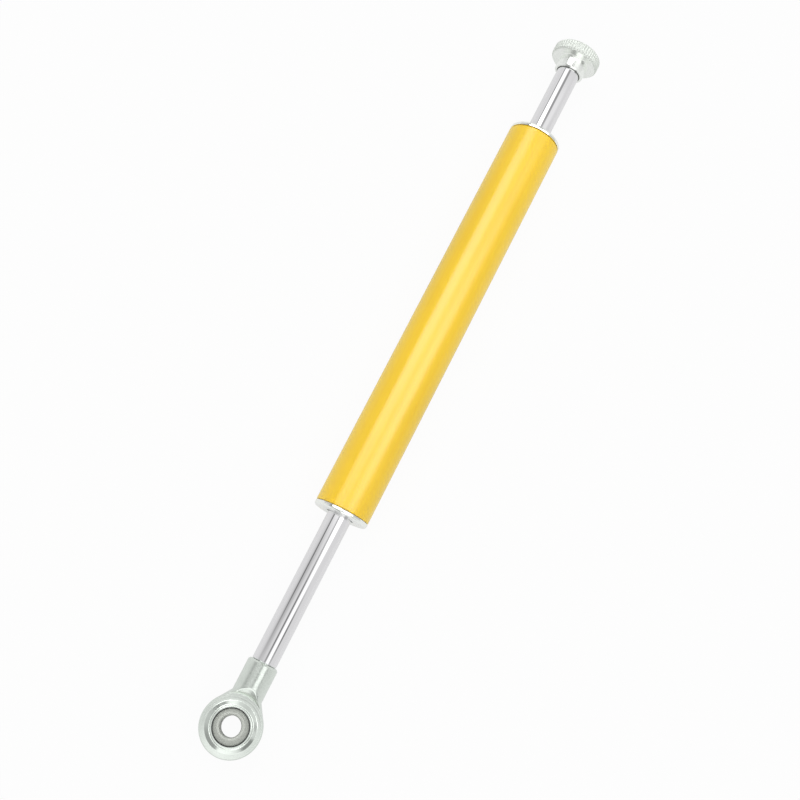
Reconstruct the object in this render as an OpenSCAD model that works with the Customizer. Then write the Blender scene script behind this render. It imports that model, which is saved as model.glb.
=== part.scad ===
// Adjustable steering damper for a motorcycle. One rod runs right through the barrel,
// with a spherical rod end on its front end and a click adjuster knob on its rear end.
// Millimetres. X runs along the damper toward the knob, Z along the rod end's bolt hole,
// and the origin is on the axis at the middle of the barrel.

/* [Barrel] */
// Length of the barrel
barrel_len = 178.5; // [160:0.5:220]
// Outside diameter of the barrel
barrel_d = 22.6; // [22:0.1:28]
// Wall of the barrel
barrel_wall = 2; // [1.4:0.1:2.2]
// Break on the barrel's end edges
barrel_chamfer = 0.25; // [0.1:0.05:0.4]

/* [End caps] */
// How far each cap's flange stands out of the barrel
cap_proud = 2; // [1.5:0.1:4]
// Width of the groove between each cap's flange and the barrel
joint_w = 0.3; // [0.2:0.05:0.5]
// Depth of that groove
joint_depth = 0.5; // [0.3:0.05:0.8]
// Chamfer round the outer edge of each cap
cap_chamfer = 0.5; // [0.2:0.1:1]
// Width of the open ring round the rod in each cap's face
cap_mouth_gap = 0.7; // [0.4:0.1:1]
// Lip that keeps the wiper in the cap
cap_lip = 0.8; // [0.6:0.1:1.4]
// Cord diameter of the ring that seals the cap in the barrel
gland_ring_d = 1.5; // [1.2:0.1:1.8]
// Place of that ring, from the end of the barrel
gland_ring_inset = 10; // [9:0.5:16]

/* [Rod] */
// Diameter of the rod
rod_d = 10; // [9:0.1:10.6]
// Rod showing between the front cap and the rod end
front_rod = 62.7; // [50:0.1:80]
// Rod showing between the rear cap and the knob
rear_rod = 34; // [25:0.1:50]
// Travel of the rod from stop to stop
stroke = 75; // [50:1:80]
// Diameter of the rod's threaded stub in the rod end
stub_d = 8; // [7:0.5:8]
// Length of that stub
stub_len = 8; // [6:0.5:9]
// Run-out of the rod end's thread past the stub
stub_run_out = 1; // [0.5:0.1:1.5]
// Break on the rod's shoulders and end
rod_chamfer = 0.4; // [0.2:0.1:0.6]

/* [Rod guides and seals] */
// Wall of the guide bushes
bush_wall = 1.5; // [1:0.1:1.6]
// Length of each guide bush
bush_len = 12; // [8:0.5:14]
// Length of each rod seal
seal_len = 4; // [3:0.1:5]
// Length of each wiper
wiper_len = 3; // [2.5:0.1:4]
// Depth of each wiper's groove, measured from the rod
wiper_wall = 2; // [1.6:0.1:2.2]
// Thickness of the wall between wiper and rod seal
gland_web = 2; // [1.5:0.1:4]

/* [Piston] */
// Length of the piston
piston_len = 12; // [10:0.5:16]
// Width of the piston ring
piston_ring_w = 5; // [3:0.1:6]
// Thickness of the piston ring
piston_ring_t = 1; // [0.8:0.1:1.2]
// Cord diameter of the ring under the piston ring
piston_o_ring_d = 1.2; // [1:0.1:1.4]
// Thickness of the circlips beside the piston
circlip_t = 1.2; // [0.8:0.1:1.6]
// How far the circlips stand above the rod
circlip_rise = 1.5; // [1:0.1:2]
// Depth of the circlips' grooves in the rod
circlip_groove = 0.6; // [0.4:0.1:0.8]
// Width of the gap between a circlip's ends
circlip_opening = 3; // [2:0.5:5]

/* [Oil passage] */
// Diameter of the cross ports in the rod
port_d = 2.4; // [1.6:0.1:3]
// Distance from each circlip to the edge of its port
port_inset = 1.5; // [1:0.1:4]
// Diameter of the orifice that the needle closes
orifice_d = 2.4; // [1.6:0.1:2.8]
// Diameter of the bore that holds the needle
needle_bore_d = 5; // [4.6:0.1:5.4]

/* [Needle] */
// Diameter of the needle's stem
needle_d = 3.8; // [3:0.1:4.2]
// Half angle of the needle's point
needle_angle = 30; // [20:1:40]
// Diameter of the needle's flat tip
needle_tip_d = 0.6; // [0.4:0.1:1]
// Cord diameter of the needle's seal rings
needle_ring_d = 1; // [0.8:0.1:1.1]
// Length of the needle's seal land
needle_land_len = 8; // [7:0.5:12]
// Outside diameter of the needle's thread
needle_thread_d = 6; // [5.6:0.1:6.4]
// Length of the needle's thread
needle_thread_len = 10; // [6:0.5:14]
// Advance of the needle for one turn of the knob
needle_lead = 1; // [0.8:0.1:1.2]
// Width across flats of the needle's hexagon tail
hex_af = 3.5; // [3:0.1:4]

/* [Knob] */
// Diameter of the knob's rim over the serrations
knob_d = 21; // [18:0.1:24]
// Thickness of the rim
rim_t = 5; // [4.6:0.1:8]
// Number of serrations round the rim
serrations = 54; // [40:1:72]
// Depth of the serrations
serration_depth = 0.35; // [0.2:0.05:0.5]
// Chamfer on both edges of the rim
rim_chamfer = 0.5; // [0.2:0.1:0.8]
// Diameter of the knob's collar
collar_d = 12.8; // [12.6:0.1:14]
// Length of the collar in front of the rim
collar_len = 5.7; // [5:0.1:10]
// Radius where the collar meets the rim
collar_fillet = 0.4; // [0.3:0.1:1.5]
// Chamfer on the collar's edge
collar_chamfer = 0.4; // [0.2:0.1:0.5]
// Depth of the dish in the knob's outer face
dish_depth = 0.4; // [0.2:0.1:0.6]
// Width of the flat ring left round the dish
dish_border = 2.2; // [1.5:0.1:3]
// Thickness of the plug in the knob's outer face
plug_t = 1; // [0.8:0.1:1.2]
// How far the rod's end reaches past the collar, into the rim
rod_in_rim = 0.5; // [0.3:0.1:1]

/* [Knob seal, clip and clicks] */
// Width of the dust seal's section
dust_seal_w = 0.3; // [0.3:0.05:0.9]
// Length of the dust seal
dust_seal_len = 1.4; // [1:0.1:1.8]
// How far the dust seal lies below the collar's edge
dust_seal_recess = 0.1; // [0.1:0.1:0.4]
// Thickness of the snap ring that holds the knob
clip_t = 0.9; // [0.7:0.1:1.2]
// How far the snap ring stands above the rod
clip_rise = 0.6; // [0.4:0.1:0.7]
// Depth of the snap ring's groove in the rod
clip_groove = 0.6; // [0.4:0.1:0.8]
// Place of the snap ring, from the collar's edge
clip_inset = 3; // [2.6:0.1:3.6]
// Number of clicks in one turn
clicks = 16; // [8:1:18]
// Turn of the knob from closed to open, in degrees
knob_turn = 315; // [180:22.5:337.5]
// Diameter of the click ball
click_ball_d = 1.5; // [1.2:0.1:1.5]
// Depth of the click dimples in the rod's end
dimple_depth = 0.25; // [0.1:0.05:0.3]
// Distance of the click ball from the axis
click_radius = 4; // [3.8:0.05:4.1]
// Wire diameter of the click spring
spring_wire = 0.2; // [0.16:0.02:0.24]
// Turns of the click spring
spring_turns = 3; // [2:0.5:4]

/* [Rod end] */
// Diameter of the eye
eye_d = 24; // [22.5:0.1:26]
// Width of the eye at its rim of metal round the ball
eye_w = 9; // [8:0.1:10]
// Bolt hole through the ball
bolt_d = 8; // [6:0.1:9]
// Diameter of the ball
ball_d = 15.875; // [15.5:0.005:16.2]
// Width of the ball over its flats
ball_w = 12; // [11:0.1:12.6]
// Chamfer at both ends of the bolt hole
bolt_chamfer = 0.4; // [0.2:0.1:0.6]
// Wall of the race at its middle
race_wall = 1; // [0.8:0.05:1.2]
// Depth of the race below the eye's faces
race_inset = 0.8; // [0.6:0.1:1]
// Overlap of the eye's lips over the race
lip_cover = 1.8; // [1.5:0.05:1.85]
// Width of the flat face round the ball
face_flat = 1.15; // [0.8:0.05:1.3]
// Fall of the eye's faces from that flat to the rim
rim_fall = 1; // [0.8:0.05:1.1]
// Slope of the faces' hollow curve where it leaves the flat
slope_angle = 42; // [38:1:46]
// Chamfer on the eye's outer edges
eye_chamfer = 0.4; // [0.2:0.1:0.6]
// Diameter of the shank
shank_d = 12.3; // [11.5:0.1:14]
// Distance from the middle of the eye to the shank's end
shank_reach = 25.7; // [25:0.1:32]
// Width of the turned floor between the eye's rim and the shank's shoulder
floor_w = 0.3; // [0.2:0.1:2]
// Slope of that shoulder
shoulder_angle = 40; // [35:1:65]
// Chamfer on the shank's end
shank_chamfer = 0.7; // [0.3:0.1:1]
// Angle of the flanks that run from the eye to the shank
flank_angle = 34; // [30:1:40]
// Lean of the ball in its race
ball_lean = 4.5; // [0:0.5:13]
// Direction in which the ball leans, from +X toward +Y
ball_heading = 38; // [0:1:180]

/* [Fits] */
// Radial gap of pieces that are fixed in each other
fit_gap = 0.02; // [0.01:0.01:0.04]
// Radial gap of pieces that run in each other
run_gap = 0.03; // [0.02:0.01:0.06]
// Gap of moving pieces that don't touch
free_gap = 0.3; // [0.2:0.05:0.4]

/* [Hidden] */
$fn = 96;
past = 1;          // how far a shape runs past the face it cuts or joins
edge_break = 0.2;  // chamfer on the edges of the small turned pieces

gold = [0.93, 0.70, 0.13];
silver = [0.84, 0.86, 0.85];
chrome = [0.88, 0.89, 0.91];
zinc = [0.76, 0.80, 0.77];
steel = [0.58, 0.60, 0.59];
bronze = [0.62, 0.46, 0.24];
nylon = [0.90, 0.87, 0.78];
rubber = [0.07, 0.07, 0.07];

// Places along the axis. The front half of the barrel mirrors the rear half.
barrel_r = barrel_d / 2;
bore_r = barrel_r - barrel_wall;
rod_r = rod_d / 2;
end_x = barrel_len / 2;
cap_x = end_x + cap_proud;
shank_x = -cap_x - front_rod;
eye_x = shank_x - shank_reach;
collar_x = cap_x + rear_rod;
rim_x = collar_x + collar_len;
knob_x = rim_x + rim_t;
rod_x = rim_x + rod_in_rim;

// Piston, between two circlips on the rod. At rest it stands where both ends of the rod
// have as much room left at the end of the travel.
piston_x = (rear_rod - front_rod) / 2;
circlip_x = piston_len / 2 + run_gap;
stack = 2 * (circlip_x + circlip_t);
piston_r = bore_r - free_gap;
ring_r = bore_r - run_gap;
ring_groove_r = ring_r - piston_ring_t - piston_o_ring_d - 2 * fit_gap;
port_x = stack / 2 + port_inset + port_d / 2;

// Gland: the inner end stops the piston at the end of the travel.
gland_x = (stroke + stack) / 2 + run_gap;
mouth_r = rod_r + cap_mouth_gap;
throat_r = rod_r + free_gap;
bush_r = rod_r + bush_wall;
wiper_r = rod_r + wiper_wall;
wiper_x = cap_x - cap_lip;
seal_x = wiper_x - wiper_len - 2 * fit_gap - gland_web;
gland_ring_r = bore_r - fit_gap - gland_ring_d / 2;
gland_ring_x = end_x - gland_ring_inset;
groove_play = 1.2;  // width of a seal ring's groove, in cord diameters

// Needle in the rod, with its seat under the middle of the piston
needle_travel = needle_lead * knob_turn / 360;
needle_bore_r = needle_bore_d / 2;
land_x = piston_x + port_x + port_d / 2 + free_gap;
land_r = needle_bore_r - run_gap;
needle_ring_r = needle_bore_r - run_gap - needle_ring_d / 2;
thread_x = collar_x - needle_thread_len - needle_travel;
plug_x = knob_x - dish_depth - plug_t;
tail_x = plug_x - needle_travel - free_gap;
hex_r = hex_af / sqrt(3);

// Knob
knob_r = knob_d / 2;
collar_r = collar_d / 2;
knob_bore_r = rod_r + run_gap;
knob_floor_x = rod_x + free_gap;
dish_r = knob_r - dish_border;
pocket_r = click_ball_d / 2 + run_gap;
plug_r = click_radius + pocket_r + fit_gap;
click_ball_x = rod_x + run_gap + click_ball_d / 2;
spring_x = click_ball_x + click_ball_d / 2;
clip_play = 0.15;  // play of the snap ring in the knob's groove

// Rod end
eye_r = eye_d / 2;
ball_r = ball_d / 2;
shank_r = shank_d / 2;
race_r = ball_r + run_gap + race_wall;
race_z = eye_w / 2 - race_inset;
lip_r = race_r - lip_cover;
face_r = lip_r + face_flat;
edge_z = eye_w / 2 - rim_fall;
hollow_r = rim_fall / (1 - cos(slope_angle));

// A shape turned about the damper's axis, from points of radius and place along X
module turned(points) {
    rotate([0, 90, 0]) rotate_extrude() polygon(points);
}

// A plain round bar along X
module bar(x0, x1, r) {
    translate([x0, 0, 0]) rotate([0, 90, 0]) cylinder(h = x1 - x0, r = r);
}

// A tube along X with all four edges chamfered
module tube(x0, x1, inner_r, outer_r, c) {
    turned([[inner_r, x0 + c], [inner_r + c, x0], [outer_r - c, x0], [outer_r, x0 + c],
            [outer_r, x1 - c], [outer_r - c, x1], [inner_r + c, x1], [inner_r, x1 - c]]);
}

// A rubber ring of round section round the axis
module o_ring(x, mean_r, cord_d) {
    translate([x, 0, 0]) rotate([0, 90, 0])
        rotate_extrude() translate([mean_r, 0]) circle(d = cord_d);
}

// The groove that such a ring lies in, cut into a bar of radius top_r
module ring_groove(x, width, floor_r, top_r) {
    difference() {
        bar(x - width / 2, x + width / 2, top_r + past);
        bar(x - width / 2 - past, x + width / 2 + past, floor_r);
    }
}

// A spring steel ring with a gap between its ends, below the rod
module split_ring(x, inner_r, outer_r, t, opening) {
    difference() {
        bar(x, x + t, outer_r);
        bar(x - past, x + t + past, inner_r);
        translate([x - past, -opening / 2, -outer_r - past])
            cube([t + 2 * past, opening, outer_r + past]);
    }
}

module at_front() {
    mirror([1, 0, 0]) children();
}

module barrel() {
    color(gold) tube(-end_x, end_x, bore_r, barrel_r, barrel_chamfer);
}

// End cap with a long threaded insert, as it sits in the rear end of the barrel
module gland() {
    color(silver) difference() {
        union() {
            turned([[0, end_x], [barrel_r - joint_depth, end_x],
                    [barrel_r - joint_depth, end_x + joint_w], [barrel_r, end_x + joint_w],
                    [barrel_r, cap_x - cap_chamfer], [barrel_r - cap_chamfer, cap_x], [0, cap_x]]);
            bar(gland_x, end_x, bore_r - fit_gap);
        }
        bar(gland_x - past, cap_x + past, throat_r);
        bar(wiper_x - past, cap_x + past, mouth_r);
        bar(wiper_x - wiper_len - 2 * fit_gap, wiper_x, wiper_r);
        bar(gland_x - past, seal_x, bush_r);
        ring_groove(gland_ring_x, groove_play * gland_ring_d,
                    gland_ring_r - gland_ring_d / 2 - fit_gap, bore_r);
    }
}

module gland_o_ring() {
    color(rubber) o_ring(gland_ring_x, gland_ring_r, gland_ring_d);
}

module bush(x) {
    color(bronze) tube(x, x + bush_len, rod_r + run_gap, bush_r - fit_gap, edge_break);
}

module outer_bush() {
    bush(seal_x - seal_len - bush_len);
}

module inner_bush() {
    bush(gland_x);
}

// Lip seal: a ring with a groove in the face that the oil presses on
module rod_seal() {
    inner_r = rod_r + run_gap;
    outer_r = bush_r - fit_gap;
    lip = (outer_r - inner_r) / 3;
    x0 = seal_x - seal_len;
    color(rubber)
        turned([[inner_r, seal_x], [outer_r, seal_x], [outer_r, x0], [outer_r - lip, x0],
                [(inner_r + outer_r) / 2, x0 + seal_len / 2], [inner_r + lip, x0], [inner_r, x0]]);
}

// Wiper: a ring held in its groove, with a lip that leans out along the rod
module wiper() {
    inner_r = rod_r + run_gap;
    outer_r = wiper_r - fit_gap;
    x1 = wiper_x - fit_gap;
    x0 = x1 - wiper_len;
    tip_x = wiper_x + cap_lip / 2;
    color(rubber)
        turned([[throat_r, x0], [outer_r, x0], [outer_r, x1], [mouth_r - fit_gap, x1],
                [inner_r + cap_mouth_gap / 3, tip_x], [inner_r, tip_x]]);
}

// Ground and plated rod: threaded stub, oil passage past the piston, long needle bore
module piston_rod() {
    color(chrome) difference() {
        turned([[0, shank_x - stub_len], [stub_d / 2 - rod_chamfer, shank_x - stub_len],
                [stub_d / 2, shank_x - stub_len + rod_chamfer], [stub_d / 2, shank_x],
                [rod_r - rod_chamfer, shank_x], [rod_r, shank_x + rod_chamfer],
                [rod_r, rod_x - rod_chamfer], [rod_r - rod_chamfer, rod_x], [0, rod_x]]);
        bar(piston_x, rod_x + past, needle_bore_r);
        bar(thread_x - needle_travel, rod_x + past, needle_thread_d / 2 + run_gap);
        bar(piston_x - port_x, piston_x + past, orifice_d / 2);
        for (side = [-1, 1])
            translate([piston_x + side * port_x, 0, -rod_r - past])
                cylinder(h = rod_d + 2 * past, d = port_d);
        for (side = [-1, 1])
            ring_groove(piston_x + side * (circlip_x + circlip_t / 2), circlip_t + 2 * fit_gap,
                        rod_r - circlip_groove, rod_r);
        ring_groove(collar_x + clip_inset, clip_t + 2 * fit_gap, rod_r - clip_groove, rod_r);
        for (i = [0 : clicks - 1])
            rotate([i * 360 / clicks, 0, 0])
                translate([rod_x + click_ball_d / 2 - dimple_depth, 0, -click_radius])
                    sphere(d = click_ball_d);
    }
}

module piston() {
    color(silver) difference() {
        translate([piston_x, 0, 0])
            tube(-piston_len / 2, piston_len / 2, rod_r + run_gap, piston_r, edge_break);
        ring_groove(piston_x, piston_ring_w + 2 * fit_gap, ring_groove_r, piston_r);
    }
}

module piston_ring() {
    color(nylon)
        tube(piston_x - piston_ring_w / 2, piston_x + piston_ring_w / 2,
             ring_r - piston_ring_t, ring_r, edge_break);
}

module piston_o_ring() {
    color(rubber) o_ring(piston_x, ring_groove_r + fit_gap + piston_o_ring_d / 2, piston_o_ring_d);
}

// Circlip on one side of the piston: -1 in front of it, 1 behind it
module piston_circlip(side) {
    x = piston_x + side * (circlip_x + circlip_t / 2) - circlip_t / 2;
    color(steel)
        split_ring(x, rod_r - circlip_groove + fit_gap, rod_r + circlip_rise, circlip_t, circlip_opening);
}

// Needle: pointed tip, stem, land for two seal rings, thread and hexagon tail
module metering_needle() {
    slope = tan(needle_angle);
    seat_r = orifice_d / 2 - run_gap;
    tip_x = piston_x - (seat_r - needle_tip_d / 2) / slope;
    stem_x = piston_x + (needle_d / 2 - seat_r) / slope;
    color(steel) difference() {
        union() {
            turned([[0, tip_x], [needle_tip_d / 2, tip_x], [needle_d / 2, stem_x],
                    [needle_d / 2, thread_x + past], [0, thread_x + past]]);
            bar(land_x, land_x + needle_land_len, land_r);
            bar(thread_x, thread_x + needle_thread_len, needle_thread_d / 2);
            translate([thread_x, 0, 0]) rotate([0, 90, 0])
                cylinder(h = tail_x - thread_x, r = hex_r, $fn = 6);
        }
        for (part = [1, 2])
            ring_groove(land_x + part * needle_land_len / 3, groove_play * needle_ring_d,
                        needle_ring_r - needle_ring_d / 2 - fit_gap, land_r);
    }
}

// One of the two seal rings on the needle's land: 1 on the oil side, 2 on the knob side
module needle_o_ring(part) {
    color(rubber) o_ring(land_x + part * needle_land_len / 3, needle_ring_r, needle_ring_d);
}

// Serrated disc for the rim: straight teeth, one point and one valley each
module serrated_rim() {
    step = 180 / serrations;
    outline = [for (i = [0 : 2 * serrations - 1])
                  let (r = i % 2 == 0 ? knob_r : knob_r - serration_depth)
                  r * [cos(i * step), sin(i * step)]];
    edge_r = knob_r - serration_depth - rim_chamfer;
    clear_r = knob_r + serration_depth;
    c = clear_r - edge_r;
    intersection() {
        translate([rim_x, 0, 0]) rotate([0, 90, 0]) linear_extrude(rim_t) polygon(outline);
        turned([[0, rim_x], [edge_r, rim_x], [clear_r, rim_x + c],
                [clear_r, knob_x - c], [edge_r, knob_x], [0, knob_x]]);
    }
}

module adjuster_knob() {
    fillet = [for (a = [0 : 15 : 90])
                 [collar_r + collar_fillet * (1 - cos(a)), rim_x - collar_fillet * (1 - sin(a))]];
    seal_floor = collar_x + dust_seal_recess + dust_seal_len + fit_gap;
    clip_x = collar_x + clip_inset;
    clip_w = clip_t + 2 * clip_play;
    color(silver) difference() {
        union() {
            serrated_rim();
            turned(concat([[0, collar_x], [collar_r - collar_chamfer, collar_x],
                           [collar_r, collar_x + collar_chamfer]],
                          fillet, [[0, rim_x + past]]));
        }
        bar(collar_x - past, knob_floor_x, knob_bore_r);
        bar(collar_x - past, seal_floor, rod_r + run_gap + dust_seal_w + fit_gap);
        bar(clip_x - clip_w / 2, clip_x + clip_w / 2, rod_r + clip_rise + clip_play);
        bar(plug_x, knob_x + past, plug_r);
        bar(knob_x - dish_depth, knob_x + past, dish_r);
        translate([rod_x, 0, 0]) rotate([0, 90, 0])
            cylinder(h = plug_x - rod_x + past, r = hex_r + run_gap, $fn = 6);
        translate([0, 0, -click_radius]) bar(rod_x, plug_x + past, pocket_r);
    }
}

module knob_dust_seal() {
    x = collar_x + dust_seal_recess;
    color(rubber)
        tube(x, x + dust_seal_len, rod_r + run_gap, rod_r + run_gap + dust_seal_w, edge_break / 2);
}

module knob_clip() {
    color(steel)
        split_ring(collar_x + clip_inset - clip_t / 2, rod_r - clip_groove + fit_gap,
                   rod_r + clip_rise, clip_t, circlip_opening);
}

module knob_end_plug() {
    color(silver)
        turned([[0, plug_x], [plug_r - fit_gap, plug_x], [plug_r - fit_gap, plug_x + plug_t - edge_break],
                [plug_r - fit_gap - edge_break, plug_x + plug_t], [0, plug_x + plug_t]]);
}

module detent_ball() {
    color(steel) translate([click_ball_x, 0, -click_radius]) sphere(d = click_ball_d);
}

// Coil spring between the click ball and the plug, one wire swept along a helix
module detent_spring() {
    sides = 6;
    rings_per_turn = 10;
    wire_r = spring_wire / 2;
    coil_r = pocket_r - run_gap - wire_r;
    rise = plug_x - spring_x - spring_wire;
    last = spring_turns * rings_per_turn;
    points = [for (i = [0 : last], k = [0 : sides - 1])
                 let (turn = i * 360 / rings_per_turn, a = k * 360 / sides, r = coil_r + wire_r * cos(a))
                 [wire_r + rise * i / last + wire_r * sin(a), r * cos(turn), r * sin(turn)]];
    start = [for (k = [0 : sides - 1]) k];
    finish = [for (k = [sides - 1 : -1 : 0]) last * sides + k];
    sleeve = [for (i = [0 : last - 1], k = [0 : sides - 1])
                 let (j = (k + 1) % sides)
                 each [[i * sides + k, (i + 1) * sides + k, i * sides + j],
                       [i * sides + j, (i + 1) * sides + k, (i + 1) * sides + j]]];
    color(steel) translate([spring_x, 0, -click_radius])
        polyhedron(points, concat([start], sleeve, [finish]));
}

// Turned faces of the rod end, both sides alike: a flat round the ball, a hollow curve that falls
// to a level floor, and a shoulder that climbs from the floor into the round of the shank
module turned_faces() {
    floor_r = eye_r + floor_w;
    top_z = shank_r + past;
    hollow = [for (a = [slope_angle : -slope_angle / 6 : 0])
                 [face_r + hollow_r * (sin(slope_angle) - sin(a)),
                  eye_w / 2 - hollow_r * (cos(a) - cos(slope_angle))]];
    top = concat([[0, eye_w / 2]], hollow,
                 [[floor_r, edge_z],
                  [floor_r + (top_z - edge_z) / tan(shoulder_angle), top_z], [2 * shank_reach, top_z]]);
    bottom = [for (i = [len(top) - 1 : -1 : 0]) [top[i][0], -top[i][1]]];
    rotate_extrude() polygon(concat(top, bottom));
}

// The eye before its faces are turned, with its outer edges chamfered at the floor's height
module eye_blank() {
    end_z = eye_w / 2 + past;
    end_r = eye_r - eye_chamfer - (end_z - edge_z);
    rotate_extrude() polygon([[0, -end_z], [end_r, -end_z], [eye_r, eye_chamfer - edge_z],
                              [eye_r, edge_z - eye_chamfer], [end_r, end_z], [0, end_z]]);
}

module rod_end_housing() {
    flank_x = eye_r * sin(flank_angle);
    flank_y = eye_r * cos(flank_angle);
    neck_x = flank_x + (flank_y - shank_r) / tan(flank_angle);
    color(zinc) difference() {
        translate([eye_x, 0, 0]) intersection() {
            union() {
                eye_blank();
                turned([[0, 0], [flank_y, 0], [flank_y, flank_x], [shank_r, neck_x],
                        [shank_r, shank_reach - shank_chamfer],
                        [shank_r - shank_chamfer, shank_reach], [0, shank_reach]]);
            }
            turned_faces();
        }
        translate([eye_x, 0, -race_z]) cylinder(h = 2 * race_z, r = race_r + run_gap);
        translate([eye_x, 0, -eye_w]) cylinder(h = 2 * eye_w, r = lip_r);
        bar(shank_x - stub_len - stub_run_out, shank_x + past, stub_d / 2 + fit_gap);
    }
}

module rod_end_race() {
    color(rubber) translate([eye_x, 0, 0]) difference() {
        translate([0, 0, run_gap - race_z]) cylinder(h = 2 * (race_z - run_gap), r = race_r);
        sphere(r = ball_r + run_gap);
    }
}

module rod_end_ball() {
    half = ball_w / 2;
    bolt_r = bolt_d / 2;
    color(steel) translate([eye_x, 0, 0]) rotate([0, 0, ball_heading]) rotate([0, ball_lean, 0])
        difference() {
            intersection() {
                sphere(r = ball_r);
                translate([0, 0, -half]) cylinder(h = ball_w, r = ball_r + past);
            }
            rotate_extrude()
                polygon([[0, -half - past], [bolt_r + bolt_chamfer + past, -half - past],
                         [bolt_r, bolt_chamfer - half], [bolt_r, half - bolt_chamfer],
                         [bolt_r + bolt_chamfer + past, half + past], [0, half + past]]);
        }
}

barrel();
at_front() gland();  // front_gland
gland();  // rear_gland
at_front() gland_o_ring();  // front_gland_o_ring
gland_o_ring();  // rear_gland_o_ring
at_front() outer_bush();  // front_outer_bush
at_front() inner_bush();  // front_inner_bush
outer_bush();  // rear_outer_bush
inner_bush();  // rear_inner_bush
at_front() rod_seal();  // front_rod_seal
rod_seal();  // rear_rod_seal
at_front() wiper();  // front_wiper
wiper();  // rear_wiper
piston_rod();
piston();
piston_ring();
piston_o_ring();
piston_circlip(-1);  // front_piston_circlip
piston_circlip(1);  // rear_piston_circlip
metering_needle();
needle_o_ring(1);  // needle_inner_o_ring
needle_o_ring(2);  // needle_outer_o_ring
adjuster_knob();
knob_dust_seal();
knob_clip();
knob_end_plug();
detent_ball();
detent_spring();
rod_end_housing();
rod_end_race();
rod_end_ball();
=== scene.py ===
import math

import bmesh
import bpy
from mathutils import Matrix, Vector


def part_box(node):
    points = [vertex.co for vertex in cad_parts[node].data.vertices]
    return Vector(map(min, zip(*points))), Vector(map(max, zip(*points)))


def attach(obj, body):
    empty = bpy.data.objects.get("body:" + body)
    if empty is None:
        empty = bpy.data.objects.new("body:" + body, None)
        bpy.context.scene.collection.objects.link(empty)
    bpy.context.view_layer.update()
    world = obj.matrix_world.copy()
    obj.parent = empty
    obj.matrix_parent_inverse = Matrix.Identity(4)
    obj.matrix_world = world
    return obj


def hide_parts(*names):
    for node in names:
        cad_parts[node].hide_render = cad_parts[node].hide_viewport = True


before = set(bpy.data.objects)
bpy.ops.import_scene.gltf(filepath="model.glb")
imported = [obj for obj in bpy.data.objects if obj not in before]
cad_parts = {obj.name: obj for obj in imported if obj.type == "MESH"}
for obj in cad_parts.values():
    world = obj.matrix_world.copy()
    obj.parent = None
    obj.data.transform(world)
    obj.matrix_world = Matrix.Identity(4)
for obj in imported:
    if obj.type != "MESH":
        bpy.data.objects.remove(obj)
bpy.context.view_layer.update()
mm = 0.001

# Barrel
# A drawn aluminium tube, faced square at both ends, satin blasted and anodised gold.
# The two end caps screw into it, and on the motorcycle a split clamp grips it from outside.
barrel_r = 11.3 * mm
bore_r = 9.3 * mm
barrel_break = 0.25 * mm
edge_round = 0.06 * mm
round_steps = 192
mesh_slack = 0.001 * mm
barrel_low, barrel_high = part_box("barrel")
barrel_gold = (0.98, 0.745, 0.005)


def linked(name, bm, material):
    """Makes the finished mesh an object with smooth shading and one material"""
    mesh = bpy.data.meshes.new(name)
    bm.to_mesh(mesh)
    bm.free()
    mesh.shade_smooth()
    mesh.materials.append(material)
    piece = bpy.data.objects.new(name, mesh)
    bpy.context.scene.collection.objects.link(piece)
    return piece


def weld(bm, reach):
    """Merges points nearer than the reach, and removes the faces that have no area then"""
    bmesh.ops.remove_doubles(bm, verts=bm.verts, dist=reach)
    bmesh.ops.dissolve_degenerate(bm, edges=bm.edges, dist=reach)


def spun(outline, axis, steps=round_steps):
    """Spins an outline of (place along the axis, radius) points once round the X or the Z axis.
    It is a closed loop, unless it starts and ends on the axis itself."""
    bm = bmesh.new()
    along = Vector(axis)
    out = Vector((0, 0, 1)) if along.x else Vector((1, 0, 0))
    points = [bm.verts.new(along * place + out * radius) for place, radius in outline]
    on_axis = outline[0][1] == 0 and outline[-1][1] == 0
    for start, end in zip(points, points[1:] if on_axis else points[1:] + points[:1]):
        bm.edges.new((start, end))
    bmesh.ops.spin(bm, geom=bm.verts[:] + bm.edges[:], cent=(0, 0, 0), axis=along,
                   angle=2 * math.pi, steps=steps, use_merge=True)
    weld(bm, mesh_slack)
    bmesh.ops.recalc_face_normals(bm, faces=bm.faces)
    return bm


def soften(bm, radius, least_angle=20, beyond=0):
    """Rounds every edge that bends more than the angle, in degrees, beyond a distance from the Z axis"""
    sharp = [edge for edge in bm.edges if edge.calc_face_angle(0) > math.radians(least_angle)
             and edge.verts[0].co.xy.length >= beyond]
    bmesh.ops.bevel(bm, geom=sharp, affect="EDGES", offset=radius, segments=2,
                    profile=0.5, material=-1, clamp_overlap=True)


def weighted(piece, sharp_angle=35):
    """Lets the large faces set the shading, and keeps edges crisp that bend more than the angle"""
    piece.data.set_sharp_from_angle(angle=math.radians(sharp_angle))
    modifier = piece.modifiers.new("weighted_normals", "WEIGHTED_NORMAL")
    modifier.weight = 100
    modifier.keep_sharp = True


def turned(name, outline, material, rounding=edge_round):
    """A piece turned about the damper's axis"""
    bm = spun(outline, (1, 0, 0))
    soften(bm, rounding)
    piece = linked(name, bm, material)
    weighted(piece)
    return piece


def new_finish(name, colour, metallic, roughness):
    """A material with one shader, ready for its pattern"""
    material = bpy.data.materials.new(name)
    material.use_nodes = True
    shader = material.node_tree.nodes["Principled BSDF"]
    shader.inputs["Base Color"].default_value = (*colour, 1)
    shader.inputs["Metallic"].default_value = metallic
    shader.inputs["Roughness"].default_value = roughness
    return material


def node(material, kind, inputs=None, **settings):
    """Adds a node, with its settings and its inputs given as values or as sockets to link"""
    made = material.node_tree.nodes.new(kind)
    for setting, value in settings.items():
        setattr(made, setting, value)
    for key, value in (inputs or {}).items():
        if isinstance(value, bpy.types.NodeSocket):
            material.node_tree.links.new(value, made.inputs[key])
        else:
            made.inputs[key].default_value = value
    return made


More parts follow.
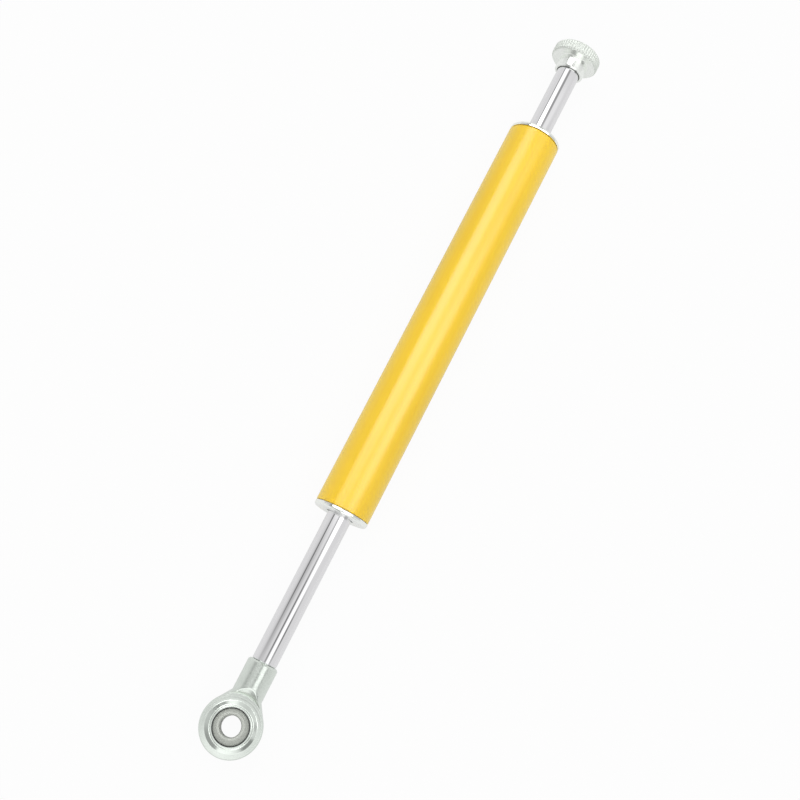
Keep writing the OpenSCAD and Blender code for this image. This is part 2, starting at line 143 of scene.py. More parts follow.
def feed(material, socket, name):
    """Links a socket to an input of the material's shader"""
    shader = material.node_tree.nodes["Principled BSDF"]
    material.node_tree.links.new(socket, shader.inputs[name])


def object_place(material, location=(0, 0, 0), rotation=(0, 0, 0), scale=(1, 1, 1)):
    """Object coordinates, moved, turned or stretched for a pattern"""
    coordinates = node(material, "ShaderNodeTexCoord")
    mapping = node(material, "ShaderNodeMapping", {
        "Vector": coordinates.outputs["Object"], "Location": location,
        "Rotation": rotation, "Scale": scale})
    return mapping.outputs["Vector"]


def noise(material, place, scale, detail=3.0, roughness=0.5):
    """Noise from 0 to 1, with a scale in features for each metre"""
    texture = node(material, "ShaderNodeTexNoise", {
        "Vector": place, "Scale": scale, "Detail": detail, "Roughness": roughness})
    return texture.outputs["Fac"]


def spread(material, socket, low, high, start=0.3, end=0.7):
    """Maps the middle of a noise onto a range of values"""
    made = node(material, "ShaderNodeMapRange", {
        "Value": socket, "From Min": start, "From Max": end, "To Min": low, "To Max": high})
    return made.outputs["Result"]


def mottled(material, pattern, first, second):
    """Lets a noise mix two colours for the shader"""
    made = node(material, "ShaderNodeMix", {"Factor": spread(material, pattern, 0, 1)}, data_type="RGBA")
    made.inputs[6].default_value = (*first, 1)
    made.inputs[7].default_value = (*second, 1)
    feed(material, made.outputs[2], "Base Color")


def bumped(material, socket, height):
    """Feeds a height in metres to the shader's normal"""
    made = node(material, "ShaderNodeBump", {"Height": socket, "Distance": height, "Strength": 1.0})
    feed(material, made.outputs["Normal"], "Normal")


def gold_anodising():
    """Dyed oxide on blasted aluminium: fine pits, faint drawing streaks along the tube and a clear skin"""
    material = new_finish("gold_anodising", barrel_gold, 1.0, 0.85)
    streaks = noise(material, object_place(material, scale=(0.01, 1, 1)), 900, 4.0)
    clouds = noise(material, object_place(material), 60, 3.0)
    pits = noise(material, object_place(material), 9000, 2.0)
    mottled(material, clouds, (0.99, 0.755, 0.006), (0.97, 0.735, 0.004))
    feed(material, spread(material, streaks, 0.80, 0.88), "Roughness")
    bumped(material, pits, 0.003 * mm)
    shader = material.node_tree.nodes["Principled BSDF"]
    shader.inputs["Coat Weight"].default_value = 1.0
    shader.inputs["Coat Roughness"].default_value = 0.27
    shader.inputs["Coat IOR"].default_value = 1.80
    return material


barrel = turned("gold_barrel", [
    (barrel_low.x, bore_r + barrel_break), (barrel_low.x, barrel_r - barrel_break),
    (barrel_low.x + barrel_break, barrel_r), (barrel_high.x - barrel_break, barrel_r),
    (barrel_high.x, barrel_r - barrel_break), (barrel_high.x, bore_r + barrel_break),
    (barrel_high.x - barrel_break, bore_r), (barrel_low.x + barrel_break, bore_r)],
    gold_anodising())
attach(barrel, "barrel")
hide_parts("barrel")

# End caps
# Two identical caps of bright aluminium. Each is a polished flange on a long threaded insert
# that holds the bushes, the rod seal and the wiper, and is screwed in against the barrel's end.
insert_r = 9.28 * mm
throat_r = 5.3 * mm
mouth_r = 5.7 * mm
wiper_seat_r = 7.0 * mm
bush_seat_r = 6.5 * mm
cap_chamfer = 0.5 * mm
joint_w = 0.3 * mm
joint_depth = 1.2 * mm
cap_lip = 0.8 * mm
wiper_seat_len = 3.04 * mm
seal_web = 2.0 * mm
ring_groove_w = 1.8 * mm
ring_groove_r = 7.76 * mm
cap_tint = (0.93, 0.955, 0.92)
both_ends = (("front", -1), ("rear", 1))


def turned_place(material, location=(0, 0, 0), rotation=(0, math.radians(-90), 0)):
    """Place on a turned piece as (radius, place along its axis), which a tool follows in rings.
    The rotation brings the piece's axis upright."""
    upright = object_place(material, location, rotation)
    flat = node(material, "ShaderNodeVectorMath", {0: upright, 1: (1, 1, 0)}, operation="MULTIPLY")
    radius = node(material, "ShaderNodeVectorMath", {0: flat.outputs["Vector"]}, operation="LENGTH")
    along = node(material, "ShaderNodeSeparateXYZ", {"Vector": upright})
    both = node(material, "ShaderNodeCombineXYZ", {"X": radius.outputs["Value"], "Y": along.outputs["Z"]})
    return both.outputs["Vector"]


def turning_marks(material, place, rough, height, scale=2500):
    """Rings left by the turning tool, in the gloss and in the relief"""
    rings = noise(material, place, scale, 2.0)
    feed(material, spread(material, rings, *rough), "Roughness")
    bumped(material, rings, height)


def polished_aluminium(name, rough):
    """Bright turned aluminium, buffed until only faint rings are left"""
    material = new_finish(name, cap_tint, 1.0, sum(rough) / 2)
    turning_marks(material, turned_place(material), rough, 0.0012 * mm)
    return material


cap_finish = polished_aluminium("polished_aluminium", (0.09, 0.16))
for end, toward in both_ends:
    low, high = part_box(end + "_gland")
    face_x = max(abs(low.x), abs(high.x))
    inner_x = min(abs(low.x), abs(high.x))
    wiper_x = face_x - cap_lip
    seal_x = wiper_x - wiper_seat_len - seal_web
    ring_low, ring_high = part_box(end + "_gland_o_ring")
    ring_x = abs(ring_low.x + ring_high.x) / 2
    outline = [
        (face_x, mouth_r), (face_x, barrel_r - cap_chamfer), (face_x - cap_chamfer, barrel_r),
        (barrel_high.x + joint_w, barrel_r), (barrel_high.x + joint_w, barrel_r - joint_depth),
        (barrel_high.x, barrel_r - joint_depth), (barrel_high.x, insert_r),
        (ring_x + ring_groove_w / 2, insert_r), (ring_x + ring_groove_w / 2, ring_groove_r),
        (ring_x - ring_groove_w / 2, ring_groove_r), (ring_x - ring_groove_w / 2, insert_r),
        (inner_x, insert_r), (inner_x, bush_seat_r), (seal_x, bush_seat_r), (seal_x, throat_r),
        (wiper_x - wiper_seat_len, throat_r), (wiper_x - wiper_seat_len, wiper_seat_r),
        (wiper_x, wiper_seat_r), (wiper_x, mouth_r)]
    cap = turned(end + "_cap", [(toward * x, r) for x, r in outline], cap_finish)
    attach(cap, "barrel")
    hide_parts(end + "_gland")

# Wipers
# A moulded rubber ring in each cap's mouth. Its lip leans out along the rod and keeps dirt
# from the oil seal behind it, and it shows as the dark ring round the rod.
wiper_run_r = 5.03 * mm
wiper_out_r = 6.98 * mm
wiper_nose_r = 5.68 * mm
wiper_tip_r = 5.26 * mm
wiper_nose = 0.42 * mm
wiper_round = 0.04 * mm


def nitrile_rubber():
    """Black rubber with a dull bloom and the fine grain of its mould"""
    material = new_finish("nitrile_rubber", (0.018, 0.018, 0.019), 0.0, 0.55)
    grain = noise(material, object_place(material), 6000, 3.0)
    bloom = noise(material, object_place(material), 400, 2.0)
    mottled(material, bloom, (0.014, 0.014, 0.015), (0.028, 0.028, 0.029))
    feed(material, spread(material, grain, 0.48, 0.66), "Roughness")
    bumped(material, grain, 0.006 * mm)
    return material


rubber = nitrile_rubber()
for end, toward in both_ends:
    low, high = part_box(end + "_wiper")
    tip_x = max(abs(low.x), abs(high.x))
    back_x = min(abs(low.x), abs(high.x))
    outline = [
        (back_x, throat_r), (back_x, wiper_out_r), (tip_x - wiper_nose, wiper_out_r),
        (tip_x - wiper_nose, wiper_nose_r), (tip_x, wiper_tip_r), (tip_x, wiper_run_r)]
    wiper = turned(end + "_rod_wiper", [(toward * x, r) for x, r in outline], rubber, wiper_round)
    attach(wiper, "barrel")
    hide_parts(end + "_wiper")

# Bushes and seals inside the caps
# Each cap holds two sintered bronze bushes that guide the rod, a rubber lip seal between
# bush and wiper, and a rubber ring in a groove round the insert.


def sintered_bronze():
    """Pressed bronze powder, soaked with oil: matt, with open pores"""
    material = new_finish("sintered_bronze", (0.42, 0.25, 0.10), 1.0, 0.45)
    pores = node(material, "ShaderNodeTexVoronoi", {"Vector": object_place(material), "Scale": 5000.0})
    feed(material, spread(material, pores.outputs["Distance"], 0.62, 0.34, 0.0, 0.5), "Roughness")
    bumped(material, pores.outputs["Distance"], 0.01 * mm)
    return material


def dress(nodes, material):
    """Gives a finish to pieces that keep their CAD shape"""
    for name in nodes:
        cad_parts[name].material_slots[0].material = material


dress(["front_outer_bush", "front_inner_bush", "rear_outer_bush", "rear_inner_bush"], sintered_bronze())
dress(["front_rod_seal", "rear_rod_seal", "front_gland_o_ring", "rear_gland_o_ring"], rubber)

# Rod
# One ground and hard chromed steel rod runs through the barrel. Its front stub screws into the rod end,
# its rear half is bored for the needle, and two cross ports let oil past the piston.
rod_r = 5.0 * mm
stub_r = 4.0 * mm
rod_chamfer = 0.4 * mm
needle_bore_r = 2.5 * mm
thread_bore_r = 3.03 * mm
orifice_r = 1.2 * mm
port_r = 1.2 * mm
port_reach = 9.93 * mm
thread_inset = 11.75 * mm
rod_low, rod_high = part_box("piston_rod")
stub_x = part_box("rod_end_housing")[1].x
piston_low, piston_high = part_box("piston")
piston_x = (piston_low.x + piston_high.x) / 2
thread_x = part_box("adjuster_knob")[0].x - thread_inset


def hard_chrome():
    """Mirror chrome over fine grinding rings, with a few hairlines along the stroke"""
    material = new_finish("hard_chrome", (0.812, 0.808, 0.82), 1.0, 0.05)
    rings = noise(material, turned_place(material), 4000, 3.0)
    hairlines = noise(material, object_place(material, scale=(0.02, 1, 1)), 2500, 2.0)
    both = node(material, "ShaderNodeMath", {0: rings, 1: hairlines}, operation="MULTIPLY")
    feed(material, spread(material, both.outputs["Value"], 0.03, 0.075, 0.15, 0.45), "Roughness")
    bumped(material, rings, 0.0002 * mm)
    return material


def cut(piece, tool, operation="DIFFERENCE"):
    """Cuts a piece with a tool, joins them or keeps what they share, then removes the tool"""
    modifier = piece.modifiers.new("cut", "BOOLEAN")
    modifier.object = tool
    modifier.operation = operation
    modifier.solver = "EXACT"
    modifier.material_mode = "TRANSFER"
    bpy.context.view_layer.update()
    shaped = bpy.data.meshes.new_from_object(piece.evaluated_get(bpy.context.evaluated_depsgraph_get()))
    shaped.name = piece.name
    piece.modifiers.remove(modifier)
    piece.data = shaped
    bpy.data.objects.remove(tool)


def drill(place, direction, length, radius, material, sides=48):
    """A round tool for a hole, centred on a place"""
    bm = bmesh.new()
    turn = Vector((0, 0, 1)).rotation_difference(Vector(direction)).to_matrix().to_4x4()
    bmesh.ops.create_cone(bm, cap_ends=True, segments=sides, radius1=radius, radius2=radius,
                          depth=length, matrix=Matrix.Translation(place) @ turn)
    return linked("drill", bm, material)


chrome = hard_chrome()
rod_bm = spun([
    (rod_low.x, 0), (rod_low.x, stub_r - rod_chamfer), (rod_low.x + rod_chamfer, stub_r), (stub_x, stub_r),
    (stub_x, rod_r - rod_chamfer), (stub_x + rod_chamfer, rod_r), (piston_x - 2 * port_reach, rod_r),
    (piston_x + 2 * port_reach, rod_r), (rod_high.x - rod_chamfer, rod_r),
    (rod_high.x, rod_r - rod_chamfer), (rod_high.x, thread_bore_r), (thread_x, thread_bore_r),
    (thread_x, needle_bore_r), (piston_x, needle_bore_r), (piston_x, orifice_r),
    (piston_x - port_reach, orifice_r), (piston_x - port_reach, 0)], (1, 0, 0))
soften(rod_bm, edge_round)
rod = linked("chrome_rod", rod_bm, chrome)
for side in (-1, 1):
    cut(rod, drill((piston_x + side * port_reach, 0, 0), (0, 0, 1), 4 * rod_r, port_r, chrome))
weighted(rod)
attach(rod, "rod")
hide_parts("piston_rod")

# Piston pack and needle
# The piston sits on the rod between two circlips, with a plastic ring pressed out by a rubber ring.
# A long steel needle in the rod throttles the oil that passes the piston.


def plain_turned(name, colour, rough, height=0.004 * mm):
    """An inner piece as it leaves the lathe"""
    material = new_finish(name, colour, 1.0, sum(rough) / 2)
    turning_marks(material, turned_place(material), rough, height)
    return material


def filled_plastic():
    """Ivory bearing plastic, slightly mottled by its filler"""
    material = new_finish("filled_plastic", (0.72, 0.66, 0.52), 0.0, 0.4)
    flecks = noise(material, object_place(material), 3500, 4.0)
    mottled(material, flecks, (0.62, 0.56, 0.43), (0.76, 0.70, 0.56))
    feed(material, spread(material, flecks, 0.32, 0.48), "Roughness")
    bumped(material, flecks, 0.004 * mm)
    return material


inner_steel = plain_turned("needle_steel", (0.56, 0.56, 0.55), (0.18, 0.34))
spring_steel = plain_turned("spring_steel", (0.24, 0.24, 0.25), (0.30, 0.46))
dress(["piston"], plain_turned("inner_aluminium", (0.80, 0.81, 0.80), (0.22, 0.40)))
dress(["piston_ring"], filled_plastic())
dress(["piston_o_ring", "needle_inner_o_ring", "needle_outer_o_ring"], rubber)
dress(["front_piston_circlip", "rear_piston_circlip", "knob_clip", "detent_spring"], spring_steel)
dress(["metering_needle", "detent_ball"], inner_steel)

# Rod end
# A forged steel eye on a shank, zinc plated. Its faces are turned round the ball's seat, and the shank
# is turned and drilled to screw onto the rod. Lips rolled over the race keep it in the eye.
eye_r = 12.0 * mm
face_z = 4.5 * mm
face_r = 8.3175 * mm
edge_z = 3.5 * mm
slope_angle = math.radians(30)
band_angle = math.radians(4)
hollow_r = 0.4 * mm
hollow_steps = 6
crimp_r = 7.86 * mm
crimp_w = 0.36 * mm
crimp_depth = 0.16 * mm
eye_chamfer_w = 0.4 * mm
eye_chamfer_h = 0.8 * mm
arch_break = 0.3 * mm
arch_weld = 0.22 * mm
eye_steps = 144
shank_steps = 96
shank_ring = 0.5 * mm
eye_round = 0.08 * mm
eye_bend = 6
eye_crisp = 22
eye_weld = 0.002 * mm
floor_w = 0.3 * mm
shoulder_angle = math.radians(40)
shank_r = 6.15 * mm
shank_chamfer = 0.7 * mm
flank_angle = math.radians(34)
race_seat_r = 9.0 * mm
race_seat_z = 3.7 * mm
lip_r = 7.1675 * mm
stub_hole_r = 4.02 * mm
stub_hole_len = 9.0 * mm
stub_hole_sides = 70
clear = 1 * mm
eye_low, eye_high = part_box("rod_end_housing")
eye_x = eye_low.x + eye_r
eye_place = Vector((eye_x, 0, 0))
shank_reach = eye_high.x - eye_x


def zinc_plate(name, place_of, bright, dull, rough, height, scale):
    """Pale, faintly green zinc over the tool's rings, with the uneven cloud of a barrel plated part"""
    material = new_finish(name, bright, 1.0, sum(rough) / 2)
    clouds = noise(material, object_place(material), 350, 4.0)
    mottled(material, clouds, bright, dull)
    turning_marks(material, place_of(material), rough, height, scale)
    return material


def eye_rings(material):
    """Place in rings round the bolt hole"""
    return turned_place(material, (-eye_x, 0, 0), (0, 0, 0))


zinc_faces = zinc_plate("zinc_turned_faces", eye_rings, (0.78, 0.83, 0.78), (0.73, 0.78, 0.73),
                        (0.14, 0.26), 0.005 * mm, 1600)
zinc_body = zinc_plate("zinc_body", object_place, (0.75, 0.80, 0.75), (0.69, 0.74, 0.69),
                       (0.13, 0.22), 0.04 * mm, 1000)


def at_eye(name, bm, material):
    """Moves a mesh that is made at the origin to the middle of the eye"""
    bmesh.ops.translate(bm, verts=bm.verts, vec=eye_place)
    return linked(name, bm, material)


def arch_edges(bm):
    """The edge where the turned shoulder runs out of the shank, beyond the eye itself"""
    return [edge for edge in bm.edges
            if edge.calc_face_angle(0) > math.radians(eye_bend)
            and min(vert.co.x for vert in edge.verts) > eye_x + floor_r
            and edge.link_faces[0].material_index != edge.link_faces[1].material_index]


flank_x = eye_r * math.sin(flank_angle)
flank_y = eye_r * math.cos(flank_angle)
neck_x = flank_x + (flank_y - shank_r) / math.tan(flank_angle)
floor_r = eye_r + floor_w
shoulder_r = floor_r + (shank_r - edge_z) / math.tan(shoulder_angle)
corner_run = (face_z - edge_z - (floor_r - face_r) * math.tan(band_angle)) / (
    math.tan(slope_angle) - math.tan(band_angle))
hollow_start = corner_run - hollow_r * math.tan((slope_angle - band_angle) / 2) * math.cos(slope_angle)
hollow_mid_r = face_r + hollow_start + hollow_r * math.sin(slope_angle)
hollow_mid_z = face_z - hollow_start * math.tan(slope_angle) + hollow_r * math.cos(slope_angle)
hollow_turns = [slope_angle + (band_angle - slope_angle) * i / hollow_steps for i in range(hollow_steps + 1)]
hollow = [(hollow_mid_z - hollow_r * math.cos(a), hollow_mid_r - hollow_r * math.sin(a))
          for a in hollow_turns]
upper = [(race_seat_z, race_seat_r), (race_seat_z, lip_r), (face_z, lip_r),
         (face_z, crimp_r - crimp_w / 2), (face_z - crimp_depth, crimp_r),
         (face_z, crimp_r + crimp_w / 2), (face_z, face_r)] + hollow + [
    (edge_z, floor_r), (shank_r + clear, shoulder_r + clear / math.tan(shoulder_angle)),
    (shank_r + clear, 2 * shank_reach)]
blank_z = face_z + clear
blank_r = eye_r - (blank_z - edge_z + eye_chamfer_h) * eye_chamfer_w / eye_chamfer_h
housing = at_eye("rod_end_eye", spun([
    (blank_z, 0), (blank_z, blank_r), (edge_z - eye_chamfer_h, eye_r), (eye_chamfer_h - edge_z, eye_r),
    (-blank_z, blank_r), (-blank_z, 0)], (0, 0, 1), eye_steps), zinc_body)
neck = at_eye("neck", spun([
    (0, 0), (0, flank_y), (flank_x, flank_y), (neck_x, shank_r), (shoulder_r + shank_ring, shank_r),
    (shank_reach - shank_chamfer, shank_r),
    (shank_reach, shank_r - shank_chamfer), (shank_reach, 0)], (1, 0, 0), shank_steps), zinc_body)
cut(housing, neck, "UNION")
faces_bm = spun(upper + [(-z, r) for z, r in reversed(upper)], (0, 0, 1), eye_steps)
soften(faces_bm, eye_round, eye_bend, crimp_r - crimp_w)
cut(housing, at_eye("faces", faces_bm, zinc_faces), "INTERSECT")
cut(housing, drill((stub_x, 0, 0), (1, 0, 0), 2 * stub_hole_len, stub_hole_r, zinc_body, stub_hole_sides))
arch_bm = bmesh.new()
arch_bm.from_mesh(housing.data)
weld(arch_bm, eye_weld)
arch_points = list({vert for edge in arch_edges(arch_bm) for vert in edge.verts})
bmesh.ops.remove_doubles(arch_bm, verts=arch_points, dist=arch_weld)
bmesh.ops.bevel(arch_bm, geom=arch_edges(arch_bm), affect="EDGES", offset=arch_break, segments=2,
                profile=0.5, material=-1, clamp_overlap=False)
weld(arch_bm, eye_weld)
arch_bm.to_mesh(housing.data)
arch_bm.free()
weighted(housing, eye_crisp)
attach(housing, "rod")
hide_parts("rod_end_housing")

# Race
# A black self lubricating liner between eye and ball, moulded in place. It stands up a little
# inside the eye's lips, where its black is painted shade that stands in for the shadowed gap round the ball.
race_r = 8.97 * mm
race_z = 3.67 * mm
race_bore_r = 7.9675 * mm
# The rim stands up into the eye's lips, so that the black liner paints the shaded gap round the ball
race_rim_r = 7.13 * mm
race_rim_z = 4.2 * mm
race_arc = 24


def liner_black_painted_shade():
    """Black bearing fabric set in resin: dull, with a fine weave. In the eye's lips its black is painted
    shade for the gap round the ball
    """
    material = new_finish("liner_black_painted_shade", (0.012, 0.012, 0.013), 0.0, 0.42)
    weave = noise(material, object_place(material), 8000, 2.0)
    feed(material, spread(material, weave, 0.34, 0.52), "Roughness")
    bumped(material, weave, 0.006 * mm)
    return material


race_half = math.asin(race_rim_z / race_bore_r)
race_curve = [(race_bore_r * math.sin(a), race_bore_r * math.cos(a))
              for a in (race_half * (1 - 2 * i / race_arc) for i in range(race_arc + 1))]
race_bm = spun([
    (-race_rim_z, race_rim_r), (-race_z, race_rim_r), (-race_z, race_r),
    (race_z, race_r), (race_z, race_rim_r), (race_rim_z, race_rim_r)] + race_curve, (0, 0, 1))
race = at_eye("race_liner_ring", race_bm, liner_black_painted_shade())
weighted(race)
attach(race, "race")
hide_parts("rod_end_race")

# Ball
# A hardened steel ball with flats ground on both ends and a bolt hole through it.
# It sits in the race and here leans a little, as it does when nothing is bolted to it.
ball_r = 7.9375 * mm
ball_half = 6.0 * mm
bolt_r = 4.0 * mm
bolt_chamfer = 0.4 * mm
ball_round = 0.08 * mm
ball_lean = math.radians(4.5)
ball_heading = math.radians(38)
ball_arc = 40
ball_turn = Matrix.Rotation(ball_heading, 4, "Z") @ Matrix.Rotation(ball_lean, 4, "Y")


def ball_steel():
    """Bearing steel, ground grey, with rings round the bolt hole"""
    material = new_finish("ball_steel", (0.47, 0.49, 0.45), 0.4, 0.5)
    upright = ball_turn.inverted()
    shift = upright @ -eye_place
    rings = turned_place(material, shift, upright.to_euler())
    turning_marks(material, rings, (0.44, 0.58), 0.002 * mm, 3000)
    return material


ball_edge = math.asin(ball_half / ball_r)
ball_curve = [(ball_r * math.sin(a), ball_r * math.cos(a))
              for a in (ball_edge * (1 - 2 * i / ball_arc) for i in range(ball_arc + 1))]
ball_bm = spun(ball_curve + [
    (-ball_half, bolt_r + bolt_chamfer), (-ball_half + bolt_chamfer, bolt_r),
    (ball_half - bolt_chamfer, bolt_r), (ball_half, bolt_r + bolt_chamfer)], (0, 0, 1))
soften(ball_bm, ball_round)
bmesh.ops.transform(ball_bm, matrix=ball_turn, verts=ball_bm.verts)
ball = at_eye("drilled_ball", ball_bm, ball_steel())
weighted(ball)
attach(ball, "ball")
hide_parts("rod_end_ball")

# Adjuster knob
# A knob turned from aluminium bar, with a straight knurl rolled into its rim, a plain collar in front
# and a shallow dish behind. It is blasted and left silver, and a snap ring holds it on the rod.
knob_r = 10.5 * mm
knurl_depth = 0.25 * mm
knurl_teeth = 54
knurl_steps = 10
rim_t = 5.0 * mm
rim_chamfer = 0.5 * mm
collar_r = 6.4 * mm
collar_chamfer = 0.4 * mm
collar_fillet = 0.4 * mm
fillet_step = math.radians(15)
fillet_points = 7
polish_w = 0.1 * mm
knob_gap = 0.3 * mm
dish_depth = 0.4 * mm
dish_r = 8.3 * mm
knob_bore_r = 5.03 * mm
dust_seat_r = 5.35 * mm
dust_seat_len = 1.52 * mm
clip_seat_r = 5.75 * mm
clip_seat_w = 1.2 * mm
clip_inset = 3.0 * mm
plug_seat_r = 4.8 * mm
plug_t = 1.0 * mm
hex_r = 2.05 * mm
hex_len = 4.0 * mm
click_r = 4.0 * mm
click_pocket_r = 0.78 * mm
knob_tint = (0.80, 0.83, 0.79)
knob_low, knob_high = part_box("adjuster_knob")
collar_x = knob_low.x
knob_x = knob_high.x
rim_x = knob_x - rim_t
floor_x = rod_high.x + knob_gap
plug_x = knob_x - dish_depth - plug_t


def satin_aluminium():
    """Fine turned aluminium, lightly blasted, pale and soft"""
    material = new_finish("satin_aluminium", knob_tint, 1.0, 0.45)
    turning_marks(material, turned_place(material), (0.60, 0.72), 0.0006 * mm, 2200)
    return material


def dust_and_painted_light_rubber():
    """Grey rubber, mottled by dust, and painted paler than the rubber is so that the shaded gap between
    collar and rod reads lighter: painted light
    """
    # The grey base is painted light: paler than the rubber, to lift the shade in the gap round the rod
    material = new_finish("dust_and_painted_light_rubber", (0.19, 0.20, 0.18), 0.0, 0.6)
    dust = noise(material, object_place(material), 1500, 4.0)
    mottled(material, dust, (0.15, 0.16, 0.14), (0.24, 0.25, 0.23))
    bumped(material, dust, 0.006 * mm)
    return material


def knurled(bm):
    """Presses straight teeth into the rim, from one chamfer to the other"""
    valley_r = knob_r - knurl_depth
    for vert in bm.verts:
        radius = math.hypot(vert.co.y, vert.co.z)
        if radius > valley_r - rim_chamfer / 2 and vert.co.x > rim_x - mesh_slack:
            tooth = 0.5 + 0.5 * math.cos(knurl_teeth * math.atan2(vert.co.y, vert.co.z))
            wanted = valley_r + knurl_depth * tooth
            if radius > wanted:
                vert.co.y *= wanted / radius
                vert.co.z *= wanted / radius


satin = satin_aluminium()
fillet = [(rim_x - collar_fillet * (1 - math.sin(a)), collar_r + collar_fillet * (1 - math.cos(a)))
          for a in (fillet_step * i for i in range(fillet_points))]
tip_chamfer = rim_chamfer + knurl_depth
clip_x = collar_x + clip_inset
knob_bm = spun([
    (floor_x, 0), (floor_x, knob_bore_r), (clip_x + clip_seat_w / 2, knob_bore_r),
    (clip_x + clip_seat_w / 2, clip_seat_r), (clip_x - clip_seat_w / 2, clip_seat_r),
    (clip_x - clip_seat_w / 2, knob_bore_r), (collar_x + dust_seat_len, knob_bore_r),
    (collar_x + dust_seat_len, dust_seat_r), (collar_x, dust_seat_r),
    (collar_x, collar_r - collar_chamfer), (collar_x + collar_chamfer, collar_r)]
    + fillet + [
    (rim_x, knob_r - tip_chamfer), (rim_x + tip_chamfer, knob_r), (knob_x - tip_chamfer, knob_r),
    (knob_x, knob_r - tip_chamfer), (knob_x, dish_r), (knob_x - dish_depth, dish_r),
    (knob_x - dish_depth, plug_seat_r), (plug_x, plug_seat_r), (plug_x, 0)],
    (1, 0, 0), knurl_teeth * knurl_steps)
for face in knob_bm.faces:
    if face.calc_center_median().x < rim_x + polish_w:
        face.material_index = 1
knurled(knob_bm)
knob = linked("knurled_knob", knob_bm, satin)
knob.data.materials.append(polished_aluminium("polished_collar", (0.16, 0.28)))
web_x = (floor_x + plug_x) / 2
cut(knob, drill((web_x, 0, 0), (1, 0, 0), hex_len, hex_r, satin, 6))
pocket_len = 2 * (plug_x - floor_x) + clear
cut(knob, drill((plug_x, 0, -click_r), (1, 0, 0), pocket_len, click_pocket_r, satin, 32))
weighted(knob)
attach(knob, "knob")
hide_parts("adjuster_knob")

# Knob seal and plug
# A rubber dust ring fills the gap between collar and rod, and a pressed disc closes the
# knob's outer face over the click spring.
dust_r = 5.03 * mm
dust_w = 0.3 * mm
dust_round = 0.09 * mm
plug_r = 4.78 * mm
plug_round = 0.2 * mm
dust_low, dust_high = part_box("knob_dust_seal")
plug_low, plug_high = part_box("knob_end_plug")
dust_ring = turned("dust_ring", [
    (dust_low.x, dust_r), (dust_low.x, dust_r + dust_w),
    (dust_high.x, dust_r + dust_w), (dust_high.x, dust_r)], dust_and_painted_light_rubber(), dust_round)
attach(dust_ring, "knob")
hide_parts("knob_dust_seal")
end_disc = turned("end_disc", [
    (plug_low.x, 0), (plug_low.x, plug_r), (plug_high.x, plug_r), (plug_high.x, 0)], satin, plug_round)
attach(end_disc, "knob")
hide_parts("knob_end_plug")

# Studio
# A pale table under the damper and a white tent round it, whose panels, folds and seams show in the
# bright metal. The camera stands where the photograph was taken from.
floor_reach = 3.0
table_grey = (0.62, 0.62, 0.62, 1)
table_glow = 0.95
mirror_share = 0.6
white = (1, 1, 1, 1)
tent_level = 0.82
panel_level = 3.4
side_level = 0.58
strip_level = 1.3
curtain_level = 0.58
back_level = 1.25
seam_level = 0.2
bright_seam_level = 2.2
fold_level = 0.38
gap_level = 0.74
wall_level = 0.96
bench_level = 0.70
corner_level = 0.30
camera_place = Vector((-0.14267, -0.0001, 0.44437))
camera_tilt = math.radians(13.18)
camera_roll = math.radians(27.30)
camera_lens = 51.075

floor_bm = bmesh.new()
bmesh.ops.create_grid(floor_bm, x_segments=1, y_segments=1, size=floor_reach)
bmesh.ops.translate(floor_bm, verts=floor_bm.verts, vec=(0, 0, -barrel_r))
paper = bpy.data.materials.new("pale_table")
paper.use_nodes = True
paper.node_tree.nodes.remove(paper.node_tree.nodes["Principled BSDF"])


def seen_directly(tree_owner):
    """1 for what the camera sees itself or through glass, a part for what metal mirrors, otherwise 0"""
    rays = node(tree_owner, "ShaderNodeLightPath")
    mirrored = node(tree_owner, "ShaderNodeMath", {
        0: rays.outputs["Is Glossy Ray"], 1: mirror_share}, operation="MULTIPLY")
    first = node(tree_owner, "ShaderNodeMath", {
        0: rays.outputs["Is Camera Ray"], 1: mirrored.outputs["Value"]}, operation="MAXIMUM")
    both = node(tree_owner, "ShaderNodeMath", {
        0: first.outputs["Value"], 1: rays.outputs["Is Transmission Ray"]}, operation="MAXIMUM")
    return both.outputs["Value"]


table_matt = node(paper, "ShaderNodeBsdfDiffuse", {"Color": table_grey})
table_white = node(paper, "ShaderNodeEmission", {"Color": white, "Strength": 1.0})
table_share = node(paper, "ShaderNodeMath", {0: seen_directly(paper), 1: table_glow}, operation="MULTIPLY")
table_mix = node(paper, "ShaderNodeMixShader", {
    0: table_share.outputs["Value"], 1: table_matt.outputs["BSDF"], 2: table_white.outputs["Emission"]})
table_surface = paper.node_tree.nodes["Material Output"].inputs["Surface"]
paper.node_tree.links.new(table_mix.outputs["Shader"], table_surface)
floor = linked("table", floor_bm, paper)

world = bpy.data.worlds.new("tent")
bpy.context.scene.world = world
world.use_nodes = True
sky = world.node_tree.nodes["Background"]
ray = node(world, "ShaderNodeTexCoord").outputs["Generated"]
ray_parts = node(world, "ShaderNodeSeparateXYZ", {"Vector": ray})
lean = ray_parts.outputs["X"]
swing = node(world, "ShaderNodeMath", {
    0: ray_parts.outputs["Y"], 1: ray_parts.outputs["Z"]}, operation="ARCTAN2").outputs["Value"]


def window(socket, start, end, soft):
    """1 between two values and 0 outside them, with soft ends"""
    rise = node(world, "ShaderNodeMapRange", {
        "Value": socket, "From Min": start - soft, "From Max": start + soft, "To Min": 0.0, "To Max": 1.0},
        interpolation_type="SMOOTHSTEP")
    fall = node(world, "ShaderNodeMapRange", {
        "Value": socket, "From Min": end - soft, "From Max": end + soft, "To Min": 1.0, "To Max": 0.0},
        interpolation_type="SMOOTHSTEP")
    both = node(world, "ShaderNodeMath", {
        0: rise.outputs["Result"], 1: fall.outputs["Result"]}, operation="MULTIPLY")
    return both.outputs["Value"]


